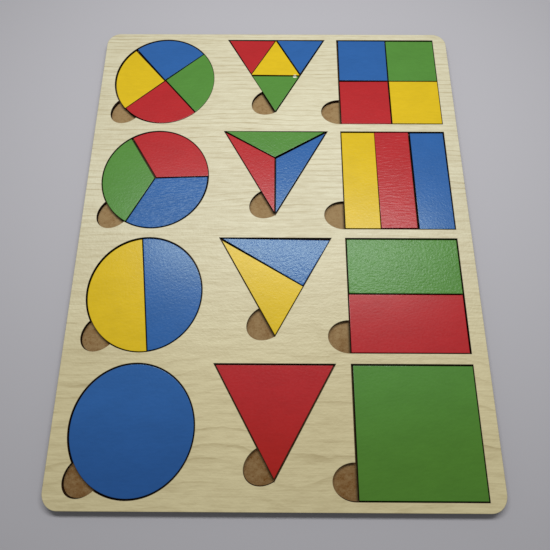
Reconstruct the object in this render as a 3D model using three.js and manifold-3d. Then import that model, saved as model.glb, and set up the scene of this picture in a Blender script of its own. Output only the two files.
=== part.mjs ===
// Wooden fraction puzzle: a plywood frame glued on a hardboard back. Its twelve recesses hold a circle, a
// triangle and a square in each row, cut into quarters, thirds and halves, and whole.
// Millimetres, +Z up. The board lies flat on Z = 0 with the origin at the centre of its underside, and the
// row of quarters is the one at +Y.
import * as THREE from "three";
import { mergeVertices } from "three/addons/utils/BufferGeometryUtils.js";
import Module from "manifold-3d";

// Sheets: the frame and the loose pieces are cut from the same plywood
const BACK_THICKNESS = 3;
const PLY_THICKNESS = 3;

// Board
const SIDE_MARGIN = 9;
const END_MARGIN = 4.8;
const COLUMN_GAP = 8.4;
const ROW_GAP = 5.6;
const CORNER_RADIUS = 9;

// Recesses: the circle's diameter and the square's side are one size
const RECESS_SIZE = 68.4;
const TRIANGLE_SIDE = 68.8;

// Finger notches: half ovals that reach out from the edges of the recesses and are cut as deep. The circles'
// notches lie a little further in from row to row.
const NOTCH_REACH = 12.25;
const NOTCH_HALF_WIDTH = 9.25;
const CIRCLE_NOTCH_ANGLE = 224.8;
const CIRCLE_NOTCH_INSETS = [0, 0, 0.3, 0.9];
const TRIANGLE_NOTCH_FROM_TIP = 9.55;

// Loose pieces: the play round a whole set, and the width of the cut between neighbours
const WALL_PLAY = 0.9;
const CUT_WIDTH = 0.7;

// Sides of a full circle
const CIRCLE_SIDES = 96;
const NOTCH_SIDES = 48;
const CORNER_SIDES = 48;

// Colours and sheens
const BIRCH = { color: 0xd7d0b0, roughness: 0.55 };
const HARDBOARD = { color: 0x8c6c44, roughness: 0.8 };
const PAINTS = {
  red: { color: 0xb6333a, roughness: 0.4 },
  yellow: { color: 0xdcbc30, roughness: 0.4 },
  green: { color: 0x5a9044, roughness: 0.4 },
  blue: { color: 0x3866a8, roughness: 0.4 },
};

// Sizes and places that follow from those above
const COLUMNS = ["circle", "triangle", "square"];
const ROW_COUNT = 4;
const BOARD_WIDTH = COLUMNS.length * RECESS_SIZE + (COLUMNS.length - 1) * COLUMN_GAP + 2 * SIDE_MARGIN;
const BOARD_HEIGHT = ROW_COUNT * RECESS_SIZE + (ROW_COUNT - 1) * ROW_GAP + 2 * END_MARGIN;
const COLUMN_PITCH = RECESS_SIZE + COLUMN_GAP;
const ROW_PITCH = RECESS_SIZE + ROW_GAP;
const HALF = RECESS_SIZE / 2;

const wasm = await Module();
wasm.setup();

const point = (x, y) => new THREE.Vector2(x, y);
const radians = THREE.MathUtils.degToRad;

// Points along an arc of a circle whose full turn has so many sides
function arc(centre, radius, from, to, sidesPerTurn) {
  const steps = Math.max(1, Math.round((sidesPerTurn * Math.abs(to - from)) / (2 * Math.PI)));
  return Array.from({ length: steps + 1 }, (_, i) => {
    const angle = from + ((to - from) * i) / steps;
    return point(centre.x + radius * Math.cos(angle), centre.y + radius * Math.sin(angle));
  });
}

function disc(centre, radius, sides) {
  return arc(centre, radius, 0, 2 * Math.PI, sides).slice(0, -1);
}

// Half an oval, which reaches out along the given angle
function halfOval(centre, reach, halfWidth, angle, sidesPerTurn) {
  return arc(point(0, 0), 1, -Math.PI / 2, Math.PI / 2, sidesPerTurn).map(({ x, y }) =>
    point(x * reach, y * halfWidth).rotateAround(point(0, 0), angle).add(centre));
}

// A flat plate of the given outline, standing on Z = 0
function plate(outline, thickness) {
  return new THREE.ExtrudeGeometry(new THREE.Shape(outline), { depth: thickness, bevelEnabled: false });
}

function solid(geometry) {
  const bare = geometry.clone();
  bare.deleteAttribute("normal");
  bare.deleteAttribute("uv");
  const merged = mergeVertices(bare, 1e-4);
  return new wasm.Manifold(new wasm.Mesh({
    numProp: 3,
    vertProperties: new Float32Array(merged.attributes.position.array),
    triVerts: new Uint32Array(merged.index.array),
  }));
}

function geometryOf(manifold) {
  const mesh = manifold.getMesh();
  const geometry = new THREE.BufferGeometry();
  geometry.setAttribute("position", new THREE.BufferAttribute(new Float32Array(mesh.vertProperties), 3));
  geometry.setIndex(new THREE.BufferAttribute(new Uint32Array(mesh.triVerts), 1));
  geometry.computeVertexNormals();
  return geometry;
}

function named(name, geometry, finish) {
  const mesh = new THREE.Mesh(geometry, new THREE.MeshStandardMaterial({ ...finish, metalness: 0 }));
  mesh.name = name;
  return mesh;
}

// Outlines of the recesses, about the centre of each. The triangle hangs from its top edge.
const TRIANGLE_LEFT = point(-TRIANGLE_SIDE / 2, HALF);
const TRIANGLE_RIGHT = point(TRIANGLE_SIDE / 2, HALF);
const TRIANGLE_TIP = point(0, HALF - (TRIANGLE_SIDE * Math.sqrt(3)) / 2);
const TRIANGLE = [TRIANGLE_LEFT, TRIANGLE_TIP, TRIANGLE_RIGHT];
const SQUARE = [point(-HALF, -HALF), point(HALF, -HALF), point(HALF, HALF), point(-HALF, HALF)];
const RECESSES = {
  circle: disc(point(0, 0), HALF, CIRCLE_SIDES),
  triangle: TRIANGLE,
  square: SQUARE,
};

// Finger notch of a recess, about the recess's centre, where its outline closes so that the two cuts overlap
function notch(shape, row) {
  const places = {
    circle: {
      centre: point(Math.sqrt(HALF ** 2 - NOTCH_HALF_WIDTH ** 2) - CIRCLE_NOTCH_INSETS[row], 0)
        .rotateAround(point(0, 0), radians(CIRCLE_NOTCH_ANGLE)),
      angle: CIRCLE_NOTCH_ANGLE,
    },
    triangle: {
      centre: TRIANGLE_TIP.clone().lerp(TRIANGLE_LEFT, TRIANGLE_NOTCH_FROM_TIP / TRIANGLE_SIDE),
      angle: 210,
    },
    square: { centre: point(-HALF, -HALF + NOTCH_HALF_WIDTH), angle: 180 },
  };
  const { centre, angle } = places[shape];
  return [point(0, 0), ...halfOval(centre, NOTCH_REACH, NOTCH_HALF_WIDTH, radians(angle), NOTCH_SIDES)];
}

function boardOutline() {
  const x = BOARD_WIDTH / 2 - CORNER_RADIUS;
  const y = BOARD_HEIGHT / 2 - CORNER_RADIUS;
  const corners = [point(x, y), point(-x, y), point(-x, -y), point(x, -y)];
  return corners.flatMap((corner, i) =>
    arc(corner, CORNER_RADIUS, (i * Math.PI) / 2, ((i + 1) * Math.PI) / 2, CORNER_SIDES));
}

function recessCentre(column, row) {
  return point((column - (COLUMNS.length - 1) / 2) * COLUMN_PITCH, ((ROW_COUNT - 1) / 2 - row) * ROW_PITCH);
}

// Frame: the plywood board with every recess and notch cut right through
function topFrame() {
  let frame = solid(plate(boardOutline(), PLY_THICKNESS));
  const cut = (outline, centre) => {
    const cutter = plate(outline, 3 * PLY_THICKNESS);
    cutter.translate(centre.x, centre.y, -PLY_THICKNESS);
    frame = frame.subtract(solid(cutter));
  };
  for (let row = 0; row < ROW_COUNT; row += 1) {
    COLUMNS.forEach((shape, column) => {
      const centre = recessCentre(column, row);
      cut(RECESSES[shape], centre);
      cut(notch(shape, row), centre);
    });
  }
  return geometryOf(frame);
}

// Where two lines cross, each given by a start and a direction
function crossing(one, other) {
  const offset = other.start.clone().sub(one.start);
  const reach = offset.cross(other.direction) / one.direction.cross(other.direction);
  return one.start.clone().addScaledVector(one.direction, reach);
}

// Moves each side of a convex outline inwards: by the play where it lies on the recess's edge, and by half
// a cut where it faces a neighbour
function fitted(outline, recess) {
  const onLine = (p, q, r) => Math.abs(q.clone().sub(p).cross(r.clone().sub(p))) < 1e-6;
  const sides = outline.map((corner, i) => {
    const next = outline[(i + 1) % outline.length];
    const atEdge = recess.some((p, j) => {
      const q = recess[(j + 1) % recess.length];
      return onLine(p, q, corner) && onLine(p, q, next);
    });
    const direction = next.clone().sub(corner).normalize();
    const inwards = point(-direction.y, direction.x);
    return { start: corner.clone().addScaledVector(inwards, atEdge ? WALL_PLAY : CUT_WIDTH / 2), direction };
  });
  return sides.map((side, i) => crossing(sides.at(i - 1), side));
}

// One of the equal sectors of a circle, its middle along the given angle
function sector(count, middle) {
  const radius = HALF - WALL_PLAY;
  const halfAngle = Math.PI / count;
  const arcHalf = halfAngle - Math.asin(CUT_WIDTH / 2 / radius);
  const tip = point(CUT_WIDTH / 2 / Math.sin(halfAngle), 0).rotateAround(point(0, 0), middle);
  const rim = arc(point(0, 0), radius, middle - arcHalf, middle + arcHalf, CIRCLE_SIDES);
  return count === 2 ? rim : [tip, ...rim];
}

function cell(columns, rows, column, row) {
  const width = RECESS_SIZE / columns;
  const height = RECESS_SIZE / rows;
  const x = -HALF + column * width;
  const y = HALF - row * height;
  const corners = [point(x, y - height), point(x + width, y - height), point(x + width, y), point(x, y)];
  return fitted(corners, SQUARE);
}

const triangle = (...corners) => fitted(corners, TRIANGLE);
const middleOf = (a, b) => a.clone().lerp(b, 0.5);
const LEFT_MIDDLE = middleOf(TRIANGLE_LEFT, TRIANGLE_TIP);
const RIGHT_MIDDLE = middleOf(TRIANGLE_TIP, TRIANGLE_RIGHT);
const TOP_MIDDLE = middleOf(TRIANGLE_LEFT, TRIANGLE_RIGHT);
const CENTROID = TOP_MIDDLE.clone().lerp(TRIANGLE_TIP, 1 / 3);

// Every set of pieces, row by row. lie is how far a piece has slid from the middle of its play, in shares of
// the play along X and Y. turn and askew are the degrees by which a set and a single piece are turned.
const SETS = [
  {
    shape: "circle", row: 0, fraction: "quarter", turn: -4,
    pieces: [
      { paint: "blue", outline: sector(4, radians(90)), lie: [0.35, -0.1], askew: -0.7 },
      { paint: "green", outline: sector(4, 0), lie: [0.75, -0.1] },
      { paint: "red", outline: sector(4, radians(270)), lie: [0.7, -0.35] },
      { paint: "yellow", outline: sector(4, radians(180)), lie: [0.4, -0.65], askew: 0.4 },
    ],
  },
  {
    shape: "triangle", row: 0, fraction: "quarter", turn: -0.5,
    pieces: [
      { paint: "red", outline: triangle(TRIANGLE_LEFT, LEFT_MIDDLE, TOP_MIDDLE), lie: [-0.35, -0.3] },
      { paint: "blue", outline: triangle(TOP_MIDDLE, RIGHT_MIDDLE, TRIANGLE_RIGHT), lie: [-0.4, 0.2] },
      { paint: "yellow", outline: triangle(LEFT_MIDDLE, RIGHT_MIDDLE, TOP_MIDDLE), lie: [-0.55, -0.3] },
      {
        paint: "green", outline: triangle(LEFT_MIDDLE, TRIANGLE_TIP, RIGHT_MIDDLE),
        lie: [-0.3, -0.75], askew: 0.2,
      },
    ],
  },
  {
    shape: "square", row: 0, fraction: "quarter",
    pieces: [
      { paint: "blue", outline: cell(2, 2, 0, 0), lie: [0.25, -0.2], askew: -0.3 },
      { paint: "green", outline: cell(2, 2, 1, 0), lie: [0.45, -0.4] },
      { paint: "red", outline: cell(2, 2, 0, 1), lie: [0.1, -0.5], askew: 0.3 },
      { paint: "yellow", outline: cell(2, 2, 1, 1), lie: [0.55, -0.35] },
    ],
  },
  {
    shape: "circle", row: 1, fraction: "third", turn: 2,
    pieces: [
      { paint: "red", outline: sector(3, radians(60)), lie: [0.5, 0.05] },
      { paint: "green", outline: sector(3, radians(180)), lie: [-0.2, -0.15] },
      { paint: "blue", outline: sector(3, radians(300)), lie: [-0.15, -0.15] },
    ],
  },
  {
    shape: "triangle", row: 1, fraction: "third",
    pieces: [
      {
        paint: "green", outline: triangle(TRIANGLE_LEFT, CENTROID, TRIANGLE_RIGHT),
        lie: [-0.85, 0.45], askew: -0.4,
      },
      { paint: "red", outline: triangle(TRIANGLE_LEFT, TRIANGLE_TIP, CENTROID), lie: [-0.45, 0.15] },
      { paint: "blue", outline: triangle(TRIANGLE_TIP, TRIANGLE_RIGHT, CENTROID), lie: [-0.1, -0.25] },
    ],
  },
  {
    shape: "square", row: 1, fraction: "third",
    pieces: [
      { paint: "yellow", outline: cell(3, 1, 0, 0), lie: [-0.3, -0.25] },
      { paint: "red", outline: cell(3, 1, 1, 0), lie: [-0.65, 0.05], askew: 0.3 },
      { paint: "blue", outline: cell(3, 1, 2, 0), lie: [0.05, -0.6], askew: 0.3 },
    ],
  },
  {
    shape: "circle", row: 2, fraction: "half", turn: 7.6,
    pieces: [
      { paint: "yellow", outline: sector(2, Math.PI), lie: [0.2, -0.4] },
      { paint: "blue", outline: sector(2, 0), lie: [0.15, -0.2] },
    ],
  },
  {
    shape: "triangle", row: 2, fraction: "half",
    pieces: [
      {
        paint: "blue", outline: triangle(TRIANGLE_LEFT, RIGHT_MIDDLE, TRIANGLE_RIGHT),
        lie: [-0.25, -0.4], askew: -0.7,
      },
      { paint: "yellow", outline: triangle(TRIANGLE_LEFT, TRIANGLE_TIP, RIGHT_MIDDLE), lie: [0.1, -0.65] },
    ],
  },
  {
    shape: "square", row: 2, fraction: "half",
    pieces: [
      { paint: "green", outline: cell(1, 2, 0, 0), lie: [0, -0.25] },
      { paint: "red", outline: cell(1, 2, 0, 1), lie: [-0.2, -0.4] },
    ],
  },
  {
    shape: "circle", row: 3, fraction: "whole",
    pieces: [
      { paint: "blue", outline: disc(point(0, 0), HALF - WALL_PLAY, CIRCLE_SIDES), lie: [0.2, 0.05] },
    ],
  },
  {
    shape: "triangle", row: 3, fraction: "whole",
    pieces: [{ paint: "red", outline: triangle(...TRIANGLE), lie: [-0.1, -0.1] }],
  },
  {
    shape: "square", row: 3, fraction: "whole",
    pieces: [{ paint: "green", outline: cell(1, 1, 0, 0), lie: [0.35, -0.15] }],
  },
];

const puzzle = new THREE.Group();

puzzle.add(named("backing_board", plate(boardOutline(), BACK_THICKNESS), HARDBOARD));

const frame = named("top_frame", topFrame(), BIRCH);
frame.position.z = BACK_THICKNESS;
puzzle.add(frame);

for (const { shape, row, fraction, turn = 0, pieces } of SETS) {
  const centre = recessCentre(COLUMNS.indexOf(shape), row);
  const set = new THREE.Group();
  set.position.set(centre.x, centre.y, BACK_THICKNESS);
  set.rotation.z = radians(turn);
  for (const { paint, outline, lie, askew = 0 } of pieces) {
    const piece = named(`${shape}_${fraction}_${paint}`, plate(outline, PLY_THICKNESS), PAINTS[paint]);
    piece.position.set(lie[0] * WALL_PLAY, lie[1] * WALL_PLAY, 0);
    piece.rotation.z = radians(askew);
    set.add(piece);
  }
  puzzle.add(set);
}

export default puzzle;
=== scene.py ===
"""The looks of a wooden fraction puzzle on its CAD frame: birch plywood, hardboard and satin paint."""
import math
from functools import reduce
from typing import NamedTuple

import bmesh
import bpy
from mathutils import Matrix, Vector
from mathutils.geometry import delaunay_2d_cdt
from mathutils.kdtree import KDTree


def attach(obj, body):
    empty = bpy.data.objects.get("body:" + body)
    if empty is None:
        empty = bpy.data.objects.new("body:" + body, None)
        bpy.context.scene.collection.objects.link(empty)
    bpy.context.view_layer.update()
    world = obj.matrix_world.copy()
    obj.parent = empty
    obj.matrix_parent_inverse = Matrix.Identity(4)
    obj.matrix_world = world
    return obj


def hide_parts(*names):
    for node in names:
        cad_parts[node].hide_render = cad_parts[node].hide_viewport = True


MM = 0.001


class Noise(NamedTuple):
    """Noise with so many waves in a millimetre along X, Y and Z."""
    waves: tuple
    detail: float = 2.0
    roughness: float = 0.5
    shift: tuple = (0, 0, 0)


class Spread(NamedTuple):
    """A range of values, and the range that it is spread over."""
    low: float
    high: float
    to_low: float = 0.0
    to_high: float = 1.0


class Paint(NamedTuple):
    """A paint: its sRGB colour, how much of each channel is left at the near end under painted shade,
    the depth of its relief, and the level, least roughness and tint of its sheen."""
    colour: tuple
    painted_shade_share: tuple
    relief: float
    sheen: float
    roughness: float
    tint: tuple


class Coat(NamedTuple):
    """One piece's paint against the usual: how deep its relief is, how much rougher it is, and the share of
    the wood's grain in the relief. The rest is stipple."""
    depth: float = 1.0
    rougher: float = 0.0
    grainy: float = 0.0


# Edges: how much a laser-cut edge is eased, how far in the middle of that ease lies, and how wide the band
# of soot beside it is. On the board below, rubbed-off soot and painted shade in the seams reach so far from
# the foot of an edge, whose points lie so far apart. Faces that meet at less than the last angle look round.
EDGE_EASE = 0.08 * MM
EDGE_EASE_MIDDLE = 0.3 * EDGE_EASE
SOOT_BAND = 0.4 * MM
SOOT_AND_SHADE_REACH = 2 * MM
SOOT_STEP = 0.5 * MM
ROUND_BELOW = math.radians(50)

# Faces, by how far their normal points up: the top in a CAD mesh, and what has a top's and a back's finish
OUTLINE_TOP = 0.5
TOP_ABOVE = 0.1
BACK_BELOW = -0.999

# The order of a piece's finishes
TOP, EDGE, BACK = range(3)

# Points that are closer than this are one, in the CAD mesh and in a finished one
CAD_TOLERANCE = 0.01 * MM
TOLERANCE = 0.001 * MM

# Sheets: each piece is sawn from a stretch of its own, this many metres further on, with its grain turned by
# up to so many degrees either way, in steps of so many
SHEET_STEP = 0.37
GRAIN_TURN = 9
GRAIN_TURN_STEP = 7

# Camera, fitted to the photograph's recesses. Its turn is in degrees, its lens and sensor in millimetres.
CAMERA_PLACE = Vector((0.8, -93.2, 284.9)) * MM
CAMERA_TURN = (19.313, 0.112, 0.286)
CAMERA_LENS = 31.42
CAMERA_SENSOR = 36
CAMERA_SHIFT = -0.0886
CAMERA_NEAREST = 10 * MM

# Light: one long soft lamp above the far rows, in metres and watts, and an even sky
LAMP_PLACE = Vector((16, 133, 450)) * MM
LAMP_AIM = Vector((10, 20, 0)) * MM
LAMP_SIZE = (0.445, 0.08)
LAMP_POWER = 2.2
SKY_COLOUR = (0.2, 0.2, 0.2)

# Floor: plain and pale. Between these distances from the object, in metres, it goes over into the sky.
FLOOR_COLOUR = (178, 177, 182)
FLOOR_ROUGHNESS = 0.9
FLOOR_SIZE = 8
FLOOR_FADE = (0.28, 0.8)

# Colours as written, in sRGB
BIRCH_PALE = (215, 210, 181)
# The next colour is not the wood's own: it is the painted shade that the birch goes toward at the near end
BIRCH_PAINTED_SHADE = (212, 193, 126)
BIRCH_DARK = (160, 143, 99)
HARDBOARD_PALE = (154, 128, 89)
HARDBOARD_DARK = (106, 65, 13)
CHAR_DARK = (14, 9, 6)
CHAR_PALE = (86, 55, 32)
CHIP_COLOUR = (238, 234, 216)

# Soot: how closely it keeps to a cut edge, and the most of it on each finish. On the board below the pieces
# it is partly painted shade, darkest in the seams and at the foot of every wall.
SOOT_CLOSENESS = 3.0
SMOKE_AND_SHADE_CLOSENESS = 1.5
FACE_SOOT = 0.3
PAINT_SOOT = 0.25
# On the board below: soot with painted shade, nearly black in the seams and at the foot of the walls
SEAT_SOOT_AND_SHADE = 0.9

# Birch, with places along Y in millimetres: its rings are close and straight at the far end, faint in the
# middle, and broad and wavy at the near end. A pair is a noise and what its values are spread over.
RINGS_PER_MM = 0.22
RINGS_CLOSER = 0.0004
RING_WAVE = Noise((0.009, 0.012, 0), 1.0)
RING_WAVE_SIZE = Spread(60, -100, 2.4, 6.0)
RING_RIPPLE = Noise((0.03, 0.1, 0), 3.0)
RING_RISE = Spread(0.68, 0.96)
RING_FALL = Spread(0.96, 1.0, 1.0, 0.0)
RING_FAR = Spread(-20, 20, 0.4, 1.1)
RING_NEAR = Spread(-60, -95, 0.4, 1.0)
RING_END = Spread(-125, -148, 1.0, 0.5)
RING_STRENGTH = (Noise((0.018, 0.08, 0), shift=(7, 3, 0)), Spread(0.36, 0.64, 0.06, 0.36))
BIRCH_STREAKS = (Noise((0.022, 0.6, 0.1), 4.0, 0.6, (2, 2, 0)), Spread(0.4, 0.75, -0.01, 0.18))
BIRCH_DASHES = (Noise((0.13, 0.62, 0.4), 3.0, 0.6, (3, 9, 0)), Spread(0.35, 0.75, -0.02, 0.16))
BIRCH_TONE = (Noise((0.01, 0.018, 0), 1.0, shift=(1, 5, 0)), Spread(0.3, 0.7, -0.06, 0.06))
BIRCH_FIBRE = Noise((0.1, 3.2, 0.4), 4.0, 0.6)
BIRCH_FIBRE_TONE = Spread(0.25, 0.75, 0.0, 0.26)
# Painted shade: how far the birch goes toward its darker, warmer shaded colour from the middle to the near
# end
BIRCH_PAINTED_SHADE_SPREAD = Spread(40, -120, 0.0, 0.45)

# The board's sanded face, and the bare undersides
FACE_STIPPLE = Noise((0.7, 0.9, 0.4), 1.0, shift=(6, 2, 0))
FACE_STIPPLE_SHARE = Spread(-50, -90, 4.5, 2.0)
FACE_RELIEF = 0.05 * MM
FACE_ROUGHNESS = Spread(0.2, 0.8, 0.42, 0.54)
FACE_SHEEN = 0.36
BACK_SMOKE = (Noise((0.35, 0.35, 0.35), 3.0), Spread(0.3, 0.7, 0.35, 1.0))
BACK_RELIEF = 0.04 * MM
BACK_ROUGHNESS = 0.6
BACK_SHEEN = 0.3

# Charred plywood edges. The middle ply shows by a point's distance from the nearer face, in millimetres.
BEAM_MARKS = Noise((2.4, 2.4, 0.12), 3.0, 0.6)
BEAM_MARKS_TONE = Spread(0.3, 0.75, 0.0, 0.5)
CHAR_PATCHES = (Noise((0.12, 0.12, 0.3)), Spread(0.4, 0.7, 0.0, 0.3))
HALF_PLYWOOD = 1.5
MIDDLE_PLY = Spread(0.9, 1.1, 0.4, 1.0)
CHAR_RELIEF = 0.06 * MM
CHAR_ROUGHNESS = 0.9
CHAR_SHEEN = 0.02

# Hardboard, a little darker and warmer at the near end, which is painted shade
MATTED_ALONG = Noise((0.7, 3.5, 2.0), 4.0, 0.65)
MATTED_ACROSS = Noise((3.0, 0.9, 2.0), 4.0, 0.65, (4, 8, 2))
MATTED_TONE = Spread(0.42, 0.78, -0.03, 0.44)
HARDBOARD_SPECKS = (Noise((0.8, 0.8, 0.8), 3.0, 0.6, (2, 6, 1)), Spread(0.55, 0.75, 0.0, 0.4))
HARDBOARD_MOTTLE = (Noise((0.35, 0.45, 0.35), 2.0, 0.6, (9, 4, 3)), Spread(0.35, 0.65, -0.12, 0.14))
HARDBOARD_TONE = (Noise((0.12, 0.12, 0.12)), Spread(0.3, 0.7, -0.1, 0.15))
# Painted shade: the hardboard goes darker and warmer toward the near end
HARDBOARD_PAINTED_SHADE = Spread(20, -150, -0.02, 0.42)
HARDBOARD_RELIEF = 0.06 * MM
HARDBOARD_ROUGHNESS = 0.7
HARDBOARD_SHEEN = 0.12

# Satin paint, with a shallower relief at the near end, where its colours are deeper as painted shade
PAINT_GRAIN = Noise((0.22, 0.9, 0.4), 1.0)
PAINT_GRAIN_TONE = Spread(0.2, 0.8, -0.03, 0.03)
PAINT_STIPPLE = Noise((0.8, 0.8, 0.4), 1.0)
PAINT_PEEL = Noise((0.7, 1.1, 1.0), 1.0, shift=(5, 1, 3))
PAINT_PEEL_SHARE = 0.3
PAINT_PEEL_ROUGHER = Spread(0.25, 0.75, 0.0, 0.07)
PAINT_MOTTLE = (Noise((0.05, 0.09, 0.05), 3.0), Spread(0.25, 0.75, 0.96, 1.03))
# Painted shade: where the paint goes deeper and warmer toward the near end
PAINT_PAINTED_SHADE = Spread(-80, -145)
PAINT_SHALLOWER = Spread(-70, -95, 1.0, 0.4)
PAINTS = {
    "red": Paint((174, 38, 42), (0.9, 0.75, 0.42), 0.075 * MM, 0.25, 0.26, (1.0, 1.0, 1.0)),
    "yellow": Paint((212, 180, 31), (0.91, 0.85, 0.8), 0.05 * MM, 0.2, 0.26, (1.0, 1.0, 0.88)),
    "green": Paint((81, 134, 56), (0.89, 0.85, 0.62), 0.13 * MM, 0.27, 0.26, (0.92, 1.0, 1.0)),
    "blue": Paint((45, 94, 158), (0.71, 0.77, 0.825), 0.095 * MM, 0.26, 0.22, (0.94, 1.14, 1.0)),
}

# Pieces that are painted unlike the rest
COATS = {
    "circle_third_blue": Coat(4.0, 0.11, 1.0),
    "circle_third_green": Coat(0.5),
    "circle_third_red": Coat(0.75, 0.0, 0.2),
    "circle_half_blue": Coat(0.55),
    "square_third_blue": Coat(0.55),
    "square_third_red": Coat(1.5, 0.0, 1.0),
    "square_half_green": Coat(1.6, 0.02, 0.3),
    "square_half_red": Coat(0.5, 0.0, 0.3),
    "triangle_third_blue": Coat(1.1, 0.02),
    "triangle_half_blue": Coat(1.2, -0.01),
}

# A chip on the edge between the yellow and the green quarter of the triangle, where bare wood shows
CHIP_PLACE = Vector((13.0, 114.5, 5.6)) * MM
CHIP_SIZE = 1.5 * MM
CHIP_RAGGED = Noise((1.2, 1.2, 1.2))
CHIP_SHARE = Spread(1.3 * CHIP_SIZE, 1.5 * CHIP_SIZE, 1.0, 0.0)


def linear(colour):
    """A colour of 0 to 255 in sRGB, as the linear colour that a shader takes."""
    def channel(value):
        value /= 255
        return value / 12.92 if value <= 0.04045 else ((value + 0.055) / 1.055) ** 2.4

    return tuple(channel(value) for value in colour) + (1.0,)


class Finish:
    """A material's node tree, with short calls for the nodes that the finishes share."""

    def __init__(self, name):
        self.material = bpy.data.materials.new(name)
        self.material.use_nodes = True
        self.tree = self.material.node_tree
        self.shader = self.tree.nodes["Principled BSDF"]

    def put(self, sockets, values):
        """Links or sets some sockets, by name or number."""
        for key, value in values.items():
            if isinstance(value, bpy.types.NodeSocket):
                self.tree.links.new(value, sockets[key])
            else:
                sockets[key].default_value = value

    def add(self, kind, inputs=None, **settings):
        """A new node, whose inputs are linked or set."""
        made = self.tree.nodes.new("ShaderNode" + kind)
        for name, value in settings.items():
            setattr(made, name, value)
        self.put(made.inputs, inputs or {})
        return made

    def set(self, **inputs):
        """The material, with the shader's inputs linked or set. Their names have _ for a space."""
        self.put(self.shader.inputs, {name.replace("_", " "): value for name, value in inputs.items()})
        return self.material

    def vector(self, operation, a, b):
        return self.add("VectorMath", {0: a, 1: b}, operation=operation).outputs[0]

    def math(self, operation, a, b=0.0, c=0.0):
        return self.add("Math", {0: a, 1: b, 2: c}, operation=operation).outputs[0]

    def total(self, *values):
        return reduce(lambda a, b: self.math("ADD", a, b), values)

    def product(self, *values):
        return reduce(lambda a, b: self.math("MULTIPLY", a, b), values)

    def spread(self, value, over):
        """A value spread from one range over another, with soft ends where it is held."""
        inputs = {0: value, 1: over.low, 2: over.high, 3: over.to_low, 4: over.to_high}
        return self.add("MapRange", inputs, interpolation_type="SMOOTHSTEP").outputs[0]

    def between(self, share, a, b):
        """A number that goes from a to b with the share."""
        return self.add("Mix", {0: share, 2: a, 3: b}).outputs[0]

    def mix(self, share, a, b, blend="MIX"):
        """A colour that goes from a to b with the share."""
        return self.add("Mix", {0: share, 6: a, 7: b}, data_type="RGBA", blend_type=blend).outputs[2]

    def shade(self, colour, by):
        """A colour times a brightness or another colour."""
        return self.mix(1.0, colour, by, "MULTIPLY")

    def bump(self, height, depth):
        return self.add("Bump", {"Height": height, "Distance": depth, "Strength": 1.0}).outputs["Normal"]


class WoodFinish(Finish):
    """A finish that knows a point's place in its sheet, in millimetres, and how near a sooty edge it is,
    which on the board below also means painted shade.
    """

    def __init__(self, name):
        super().__init__(name)
        stock = self.attribute("stock")["Vector"]
        self.place = self.vector("MULTIPLY", stock, (1 / MM, 1 / MM, 1 / MM))
        _, self.y, self.z = self.add("SeparateXYZ", {0: self.place}).outputs
        self.rim = self.attribute("rim")["Fac"]

    def attribute(self, name):
        return self.add("Attribute", attribute_name=name).outputs

    def noise(self, pattern):
        """Noise from 0 to 1."""
        place = self.vector("ADD", self.vector("MULTIPLY", self.place, pattern.waves), pattern.shift)
        inputs = {"Vector": place, "Scale": 1.0, "Detail": pattern.detail, "Roughness": pattern.roughness}
        return self.add("TexNoise", inputs).outputs["Fac"]

    def layer(self, pattern, over):
        """Noise that is spread over a range."""
        return self.spread(self.noise(pattern), over)

    def sooted_and_shaded(self, colour, soot_and_shade, closeness, most):
        """A colour with soot along the cut edges, which on the board below the pieces is also painted shade.
        """
        share = self.product(self.math("POWER", self.rim, closeness), most)
        return self.mix(share, colour, linear(soot_and_shade))

    def chipped(self, colour):
        """A colour with the chip in it."""
        place = self.add("TexCoord").outputs["Object"]
        away = self.add("VectorMath", {0: place, 1: CHIP_PLACE}, operation="DISTANCE").outputs["Value"]
        ragged = self.math("MULTIPLY_ADD", self.noise(CHIP_RAGGED), CHIP_SIZE, away)
        return self.mix(self.spread(ragged, CHIP_SHARE), colour, linear(CHIP_COLOUR))


def birch(finish):
    """The colour of rotary-cut birch, with painted shade that makes it darker and warmer toward the near
    end, and its fibres.
    """
    rings = finish.product(finish.y, finish.math("MULTIPLY_ADD", finish.y, RINGS_CLOSER, RINGS_PER_MM))
    wave = finish.product(finish.noise(RING_WAVE), finish.spread(finish.y, RING_WAVE_SIZE))
    phase = finish.math("FRACT", finish.total(rings, wave, finish.noise(RING_RIPPLE)))
    far = finish.spread(finish.y, RING_FAR)
    near = finish.spread(finish.y, RING_NEAR)
    ring = finish.product(
        finish.spread(phase, RING_RISE),
        finish.spread(phase, RING_FALL),
        finish.math("MAXIMUM", far, near),
        finish.spread(finish.y, RING_END),
        finish.layer(*RING_STRENGTH),
    )
    fibre = finish.noise(BIRCH_FIBRE)
    share = finish.total(
        ring,
        finish.layer(*BIRCH_STREAKS),
        finish.layer(*BIRCH_DASHES),
        finish.spread(fibre, BIRCH_FIBRE_TONE),
        finish.layer(*BIRCH_TONE),
    )
    # Painted shade: the birch is darker and warmer toward the near end
    pale = finish.mix(finish.spread(finish.y, BIRCH_PAINTED_SHADE_SPREAD), linear(BIRCH_PALE), linear(BIRCH_PAINTED_SHADE))
    return finish.mix(share, pale, linear(BIRCH_DARK)), fibre


def birch_face():
    """The board's sanded face, whose sheen is finely stippled."""
    finish = WoodFinish("birch_face")
    colour, fibre = birch(finish)
    stipple = finish.product(finish.noise(FACE_STIPPLE), finish.spread(finish.y, FACE_STIPPLE_SHARE))
    return finish.set(
        Base_Color=finish.sooted_and_shaded(colour, CHAR_PALE, SOOT_CLOSENESS, FACE_SOOT),
        Roughness=finish.spread(fibre, FACE_ROUGHNESS),
        Specular_IOR_Level=FACE_SHEEN,
        Normal=finish.bump(finish.total(stipple, fibre), FACE_RELIEF),
    )


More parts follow.
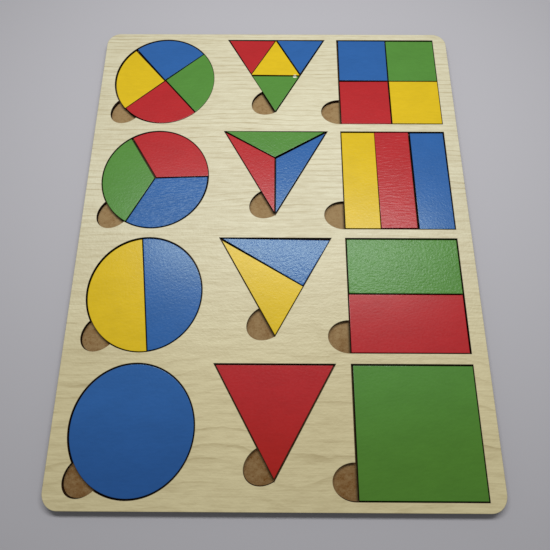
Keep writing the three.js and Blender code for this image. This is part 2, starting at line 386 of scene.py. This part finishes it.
def birch_back():
    """The bare underside of a piece, browned by smoke along its cut edges."""
    finish = WoodFinish("birch_back")
    colour, fibre = birch(finish)
    return finish.set(
        Base_Color=finish.sooted_and_shaded(colour, CHAR_PALE, SMOKE_AND_SHADE_CLOSENESS, finish.layer(*BACK_SMOKE)),
        Roughness=BACK_ROUGHNESS,
        Specular_IOR_Level=BACK_SHEEN,
        Normal=finish.bump(fibre, BACK_RELIEF),
    )


def charred_edge():
    """A laser-cut plywood edge: charred brown, with a paler middle ply and the beam's upright marks."""
    finish = WoodFinish("charred_edge")
    marks = finish.noise(BEAM_MARKS)
    share = finish.total(finish.spread(marks, BEAM_MARKS_TONE), finish.layer(*CHAR_PATCHES))
    depth = finish.math("PINGPONG", finish.z, HALF_PLYWOOD)
    share = finish.product(share, finish.spread(depth, MIDDLE_PLY))
    return finish.set(
        Base_Color=finish.chipped(finish.mix(share, linear(CHAR_DARK), linear(CHAR_PALE))),
        Roughness=CHAR_ROUGHNESS,
        Specular_IOR_Level=CHAR_SHEEN,
        Normal=finish.bump(marks, CHAR_RELIEF),
    )


def hardboard(name, pale, dark, soot_and_shade=0.0):
    """Pressed wood fibre: matted, with dark specks and slow changes of tone, painted shade toward the near
    end, and soot where it rubs off, which is also painted shade in the seams and at the foot of the walls.
    """
    finish = WoodFinish(name)
    matted = finish.math("MAXIMUM", finish.noise(MATTED_ALONG), finish.noise(MATTED_ACROSS))
    share = finish.total(
        finish.spread(matted, MATTED_TONE),
        finish.layer(*HARDBOARD_SPECKS),
        finish.layer(*HARDBOARD_MOTTLE),
        finish.layer(*HARDBOARD_TONE),
        # Painted shade: darker and warmer toward the near end
        finish.spread(finish.y, HARDBOARD_PAINTED_SHADE),
    )
    colour = finish.mix(share, linear(pale), linear(dark))
    return finish.set(
        # Soot and painted shade in the seams and at the foot of the walls
        Base_Color=finish.sooted_and_shaded(colour, CHAR_DARK, SMOKE_AND_SHADE_CLOSENESS, soot_and_shade),
        Roughness=HARDBOARD_ROUGHNESS,
        Specular_IOR_Level=HARDBOARD_SHEEN,
        Normal=finish.bump(matted, HARDBOARD_RELIEF),
    )


def satin_paint(name, paint):
    """Stippled satin paint on birch, whose grain tells on some pieces, with sooty edges and one chip."""
    finish = WoodFinish(name)
    depth, rougher, grainy = finish.add("SeparateXYZ", {0: finish.attribute("coat")["Vector"]}).outputs
    grain = finish.noise(PAINT_GRAIN)
    peel = finish.noise(PAINT_PEEL)
    tone = finish.total(finish.layer(*PAINT_MOTTLE), finish.spread(grain, PAINT_GRAIN_TONE))
    # Painted shade: the paint is deeper and warmer toward the near end
    near = finish.mix(finish.spread(finish.y, PAINT_PAINTED_SHADE), (1, 1, 1, 1), (*paint.painted_shade_share, 1))
    colour = finish.shade(finish.shade(linear(paint.colour), tone), near)
    colour = finish.sooted_and_shaded(colour, CHAR_DARK, SOOT_CLOSENESS, PAINT_SOOT)
    surface = finish.between(grainy, finish.noise(PAINT_STIPPLE), grain)
    height = finish.math("MULTIPLY_ADD", peel, PAINT_PEEL_SHARE, surface)
    height = finish.product(height, depth, finish.spread(finish.y, PAINT_SHALLOWER))
    return finish.set(
        Base_Color=finish.chipped(colour),
        Roughness=finish.total(finish.spread(peel, PAINT_PEEL_ROUGHER), paint.roughness, rougher),
        Specular_IOR_Level=paint.sheen,
        Specular_Tint=(*paint.tint, 1),
        Normal=finish.bump(height, paint.relief),
    )


def outlines(mesh):
    """The closed outlines of a flat piece's top, each with the wood on its left."""
    shape = bmesh.new()
    shape.from_mesh(mesh)
    bmesh.ops.remove_doubles(shape, verts=shape.verts, dist=CAD_TOLERANCE)
    following = {}
    for face in shape.faces:
        for corner in face.loops:
            if face.normal.z > OUTLINE_TOP > corner.link_loop_radial_next.face.normal.z:
                following[corner.vert] = corner.link_loop_next.vert
    loops = []
    while following:
        first, vertex = following.popitem()
        loop = [first.co.xy]
        while vertex is not first:
            loop.append(vertex.co.xy)
            vertex = following.pop(vertex)
        loops.append(loop)
    shape.free()
    return loops


def inset(loop, distance):
    """An outline moved into the wood, with mitred corners. An edge too short for that shrinks to a point."""
    ahead = loop[1:] + loop[:1]
    inward = [(b - a).orthogonal().normalized() for a, b in zip(loop, ahead)]
    moved = []
    for point, before, after in zip(loop, inward[-1:] + inward[:-1], inward):
        moved.append(point + (before + after) * distance / (1 + before.dot(after)))
    for i, (a, b) in enumerate(zip(loop, ahead)):
        j = (i + 1) % len(loop)
        if (moved[j] - moved[i]).dot(b - a) < 0:
            moved[i] = moved[j] = (moved[i] + moved[j]) / 2
    return moved


def foot_tree(seats):
    """A search tree of points along the outlines of the seats."""
    points = []
    for seat in seats:
        for a, b in zip(seat, seat[1:] + seat[:1]):
            steps = math.ceil((b - a).length / SOOT_STEP)
            points += [a.lerp(b, i / steps) for i in range(steps)]
    tree = KDTree(len(points))
    for i, point in enumerate(points):
        tree.insert(point.to_3d(), i)
    tree.balance()
    return tree


def mark_seats(shape, border, height, seats):
    """Fills a border on a board with faces that have points round every seat, where soot rubs off and shade
    is painted.
    """
    rim = shape.verts.layers.float["rim"]
    stock = shape.verts.layers.float_vector["stock"]
    loops = [border]
    for seat in seats:
        loops += [inset(seat, reach) for reach in (-SOOT_AND_SHADE_REACH, 0, SOOT_AND_SHADE_REACH)]
    points = []
    lines = []
    for loop in loops:
        count = len(points)
        points += loop
        lines += [(count + i, count + (i + 1) % len(loop)) for i in range(len(loop))]
    places, _, corners, *_ = delaunay_2d_cdt(points, lines, [], 0, TOLERANCE)
    tree = foot_tree(seats)
    made = []
    for place in places:
        _, _, away = tree.find(place.to_3d())
        vertex = shape.verts.new((*place, height))
        vertex[rim] = max(0, 1 - away / SOOT_AND_SHADE_REACH)
        vertex[stock] = vertex.co
        made.append(vertex)
    for corner in corners:
        shape.faces.new([made[i] for i in corner])


def plate(node, sawn, seats):
    """The flat piece of a CAD node, with eased edges.

    The attribute stock keeps each point's place in the sheet that the piece was sawn from, rim how sooty it
    is, and on the board below also how much painted shade it has, and coat how the piece is painted.
    """
    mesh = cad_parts[node].data
    low = min(vertex.co.z for vertex in mesh.vertices)
    high = max(vertex.co.z for vertex in mesh.vertices)
    rings = (
        (SOOT_BAND, low, 0.0),
        (EDGE_EASE, low, 1.0),
        (EDGE_EASE_MIDDLE, low + EDGE_EASE_MIDDLE, 1.0),
        (0.0, low + EDGE_EASE, 1.0),
        (0.0, high - EDGE_EASE, 1.0),
        (EDGE_EASE_MIDDLE, high - EDGE_EASE_MIDDLE, 1.0),
        (EDGE_EASE, high, 1.0),
        (SOOT_BAND, high, 0.0),
    )
    shape = bmesh.new()
    rim = shape.verts.layers.float.new("rim")
    stock = shape.verts.layers.float_vector.new("stock")
    coat = shape.verts.layers.float_vector.new("coat")
    for loop in outlines(mesh):
        below = None
        for distance, height, sooty in rings:
            ring = [shape.verts.new((*point, height)) for point in inset(loop, distance)]
            for vertex in ring:
                vertex[rim] = sooty
                vertex[stock] = sawn @ vertex.co
                vertex[coat] = COATS.get(node, Coat())
            if below:
                for i in range(len(ring)):
                    shape.faces.new((below[i - 1], below[i], ring[i], ring[i - 1]))
            below = ring
        if seats:
            mark_seats(shape, [vertex.co.xy for vertex in below], high, seats)
    bmesh.ops.remove_doubles(shape, verts=shape.verts, dist=TOLERANCE)
    for height in (low, high):
        open_edges = [e for e in shape.edges if e.is_boundary and abs(e.verts[0].co.z - height) < TOLERANCE]
        if open_edges:
            bmesh.ops.triangle_fill(shape, edges=open_edges, use_beauty=True)
    bmesh.ops.recalc_face_normals(shape, faces=shape.faces)
    return shape


def dress(node, body, finishes, sawn=Matrix(), seats=()):
    """Puts a finished piece in a CAD node's place. Its finishes are for its top, cut edges and back."""
    shape = plate(node, sawn, seats)
    for face in shape.faces:
        face.smooth = True
        if face.normal.z > TOP_ABOVE:
            face.material_index = TOP
        elif face.normal.z < BACK_BELOW:
            face.material_index = BACK
        else:
            face.material_index = EDGE
    mesh = bpy.data.meshes.new(node + "_finished")
    shape.to_mesh(mesh)
    shape.free()
    mesh.set_sharp_from_angle(angle=ROUND_BELOW)
    for finish in finishes:
        mesh.materials.append(finish)
    piece = bpy.data.objects.new(node + "_finished", mesh)
    bpy.context.scene.collection.objects.link(piece)
    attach(piece, body)
    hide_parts(node)


def add_floor():
    """The floor, which far from the object glows like the sky to the camera and in reflections."""
    finish = Finish("floor")
    place = finish.add("NewGeometry").outputs["Position"]
    away = finish.add("VectorMath", {0: place}, operation="LENGTH").outputs["Value"]
    rays = finish.add("LightPath").outputs
    seen = finish.total(rays["Is Camera Ray"], rays["Is Glossy Ray"], rays["Is Transmission Ray"])
    colour = linear(FLOOR_COLOUR)
    glow = finish.product(seen, finish.spread(away, Spread(*FLOOR_FADE, 0.0, 1 - colour[0])))
    material = finish.set(
        Base_Color=colour,
        Roughness=FLOOR_ROUGHNESS,
        Emission_Color=(*SKY_COLOUR, 1),
        Emission_Strength=glow,
    )
    half = FLOOR_SIZE / 2
    corners = [(-half, -half, 0), (half, -half, 0), (half, half, 0), (-half, half, 0)]
    mesh = bpy.data.meshes.new("floor")
    mesh.from_pydata(corners, [], [(0, 1, 2, 3)])
    mesh.materials.append(material)
    floor = bpy.data.objects.new("floor", mesh)
    bpy.context.scene.collection.objects.link(floor)


def add_camera():
    data = bpy.data.cameras.new("camera")
    data.sensor_fit = "HORIZONTAL"
    data.sensor_width = CAMERA_SENSOR
    data.lens = CAMERA_LENS
    data.shift_y = CAMERA_SHIFT
    data.clip_start = CAMERA_NEAREST
    camera = bpy.data.objects.new("camera", data)
    camera.location = CAMERA_PLACE
    camera.rotation_euler = [math.radians(turn) for turn in CAMERA_TURN]
    bpy.context.scene.collection.objects.link(camera)
    bpy.context.scene.camera = camera


def add_light():
    data = bpy.data.lights.new("lamp", "AREA")
    data.shape = "RECTANGLE"
    data.size, data.size_y = LAMP_SIZE
    data.energy = LAMP_POWER
    lamp = bpy.data.objects.new("lamp", data)
    lamp.location = LAMP_PLACE
    lamp.rotation_euler = (LAMP_AIM - LAMP_PLACE).to_track_quat("-Z", "Y").to_euler()
    bpy.context.scene.collection.objects.link(lamp)
    world = bpy.data.worlds.new("sky")
    world.use_nodes = True
    world.node_tree.nodes["Background"].inputs["Color"].default_value = (*SKY_COLOUR, 1)
    bpy.context.scene.world = world


def sheet_place(count):
    """Where in the sheets a piece was sawn from, and how its grain is turned."""
    turn = count * GRAIN_TURN_STEP % (2 * GRAIN_TURN + 1) - GRAIN_TURN
    return Matrix.Translation((SHEET_STEP * count, 0, 0)) @ Matrix.Rotation(math.radians(turn), 4, "Z")


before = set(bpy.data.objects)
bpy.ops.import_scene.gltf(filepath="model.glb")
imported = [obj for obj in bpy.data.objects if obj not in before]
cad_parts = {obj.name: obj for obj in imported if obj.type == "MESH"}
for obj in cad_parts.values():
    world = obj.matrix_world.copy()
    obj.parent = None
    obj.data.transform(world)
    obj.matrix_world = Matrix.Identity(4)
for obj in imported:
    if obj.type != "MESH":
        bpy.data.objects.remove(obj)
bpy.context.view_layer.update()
bpy.context.scene.view_settings.view_transform = "Standard"

face = birch_face()
edge = charred_edge()
back = birch_back()
# The board below the pieces: soot and painted shade along the seats, and painted shade toward the near end
board = hardboard("hardboard", HARDBOARD_PALE, HARDBOARD_DARK, SEAT_SOOT_AND_SHADE)
board_edge = hardboard("hardboard_edge", HARDBOARD_DARK, CHAR_DARK)
paints = {colour: satin_paint(colour + "_paint", paint) for colour, paint in PAINTS.items()}

pieces = {}
for node in sorted(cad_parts):
    colour = node.rsplit("_", 1)[-1]
    if colour in paints:
        pieces[node] = colour

seats = [loop for node in pieces for loop in outlines(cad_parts[node].data)]
dress("top_frame", "board", (face, edge, back))
dress("backing_board", "board", (board, board_edge, board), seats=seats)
for count, (node, colour) in enumerate(pieces.items()):
    dress(node, node, (paints[colour], edge, back), sheet_place(count))

add_floor()
add_camera()
add_light()
